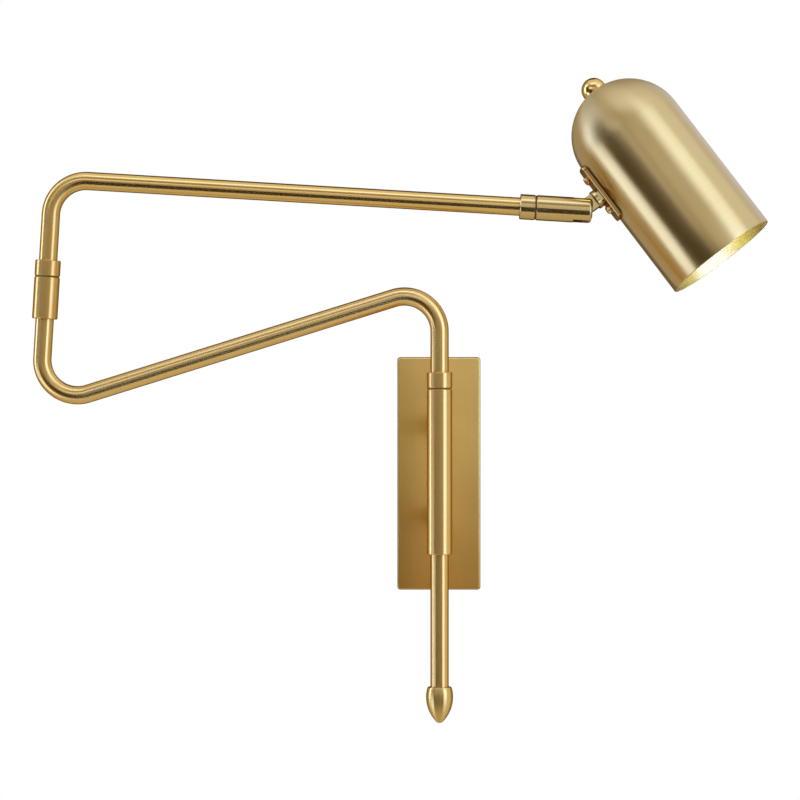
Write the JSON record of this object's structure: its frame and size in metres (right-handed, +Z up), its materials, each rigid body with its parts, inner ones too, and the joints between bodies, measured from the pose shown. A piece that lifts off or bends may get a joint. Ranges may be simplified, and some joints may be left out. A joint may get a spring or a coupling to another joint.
{
  "type": "adjustable wall lamp",
  "caption": "Wall lamp with a rod turning in a canopy sleeve, two bent tube arms joined at an elbow, and a round-topped metal shade on a swivel and tilt knuckle.",
  "frame": {"origin": "centre of the canopy's back on the wall, on the crossbar's back face", "axes": "+X to the right along the wall, +Y into the wall, +Z up; the lamp reaches out to -Y"},
  "size_m": [0.522, 0.1042, 0.4597],
  "materials": {
    "brushed_brass": "brushed along the tube, satin gloss",
    "canopy_brass": "fine upright brushing, satin",
    "shade_brass": "champagne satin, brushed round the shade",
    "polished_brass": "polished",
    "coppery_brass": "bright, copper tone",
    "raw_brass": "machined",
    "zinc_steel": "zinc plated",
    "dark_washer": "fibre, matte",
    "nylon": "natural nylon",
    "block_plastic": "moulded",
    "holder_plastic": "moulded, heat resistant",
    "bulb_metal": "rolled thread, bright",
    "bulb_glass": "frosted"
  },
  "bodies": {
    "wall_bracket": {"canopy": "canopy_brass", "crossbar": "zinc_steel", "canopy_screws": "zinc_steel", "earth_screw": "zinc_steel", "earth_washer": "zinc_steel", "terminal_block": "block_plastic", "terminal_screws": "raw_brass", "upper_post": "brushed_brass", "lower_post": "brushed_brass", "upper_nipple": "raw_brass", "lower_nipple": "raw_brass", "nipple_nuts": "raw_brass", "rod_sleeve": "brushed_brass", "upper_bushing": "nylon", "lower_bushing": "nylon", "rod_washer": "dark_washer"},
    "lower_arm": {"lower_arm_tube": "brushed_brass", "rod_collar": "brushed_brass", "rod_collar_screw": "zinc_steel", "end_finial": "brushed_brass", "end_insert": "raw_brass", "elbow_sleeve": "brushed_brass", "elbow_bushing": "nylon", "elbow_washer": "dark_washer"},
    "upper_arm": {"upper_arm_tube": "brushed_brass", "elbow_spindle": "raw_brass", "elbow_nut": "raw_brass", "elbow_collar": "brushed_brass", "arm_end_collar": "brushed_brass", "swivel_insert": "raw_brass", "swivel_bolt": "raw_brass", "swivel_washer": "dark_washer"},
    "swivel": {"knuckle_barrel": "brushed_brass", "spring_washer": "zinc_steel", "pivot_screw": "zinc_steel", "pivot_washers": "dark_washer"},
    "head": {"knuckle_tongue": "polished_brass", "lock_nut": "polished_brass", "stem_nut": "raw_brass", "shade_strip": "polished_brass", "strip_screws": "coppery_brass", "strip_nuts": "raw_brass", "shade": "shade_brass", "cap_nut": "polished_brass", "holder_nipple": "raw_brass", "dome_nut": "raw_brass", "lamp_holder": "holder_plastic", "holder_shell": "raw_brass", "bulb_cap": "bulb_metal", "bulb_globe": "bulb_glass"}
  },
  "joints": [
    {"name": "arm_swing", "type": "hinge", "parent": "wall_bracket", "child": "lower_arm", "pos_m": [0, -0.059, 0], "axis": [0, 0, 1], "range_deg": [0, 180]},
    {"name": "elbow_swing", "type": "hinge", "parent": "lower_arm", "child": "upper_arm", "pos_m": [-0.27858, -0.059, 0.14056], "axis": [0.0593, 0, 0.9982], "range_deg": [-175, 175]},
    {"name": "head_swivel", "type": "hinge", "parent": "upper_arm", "child": "swivel", "pos_m": [0.06814, -0.059, 0.18958], "axis": [0.9982, 0, -0.0593], "range_deg": [-155, 170]},
    {"name": "shade_tilt", "type": "hinge", "parent": "swivel", "child": "head", "pos_m": [0.10078, -0.059, 0.18764], "axis": [0.0098, -0.9863, 0.1648], "range_deg": [-120, 49]}
  ]
}
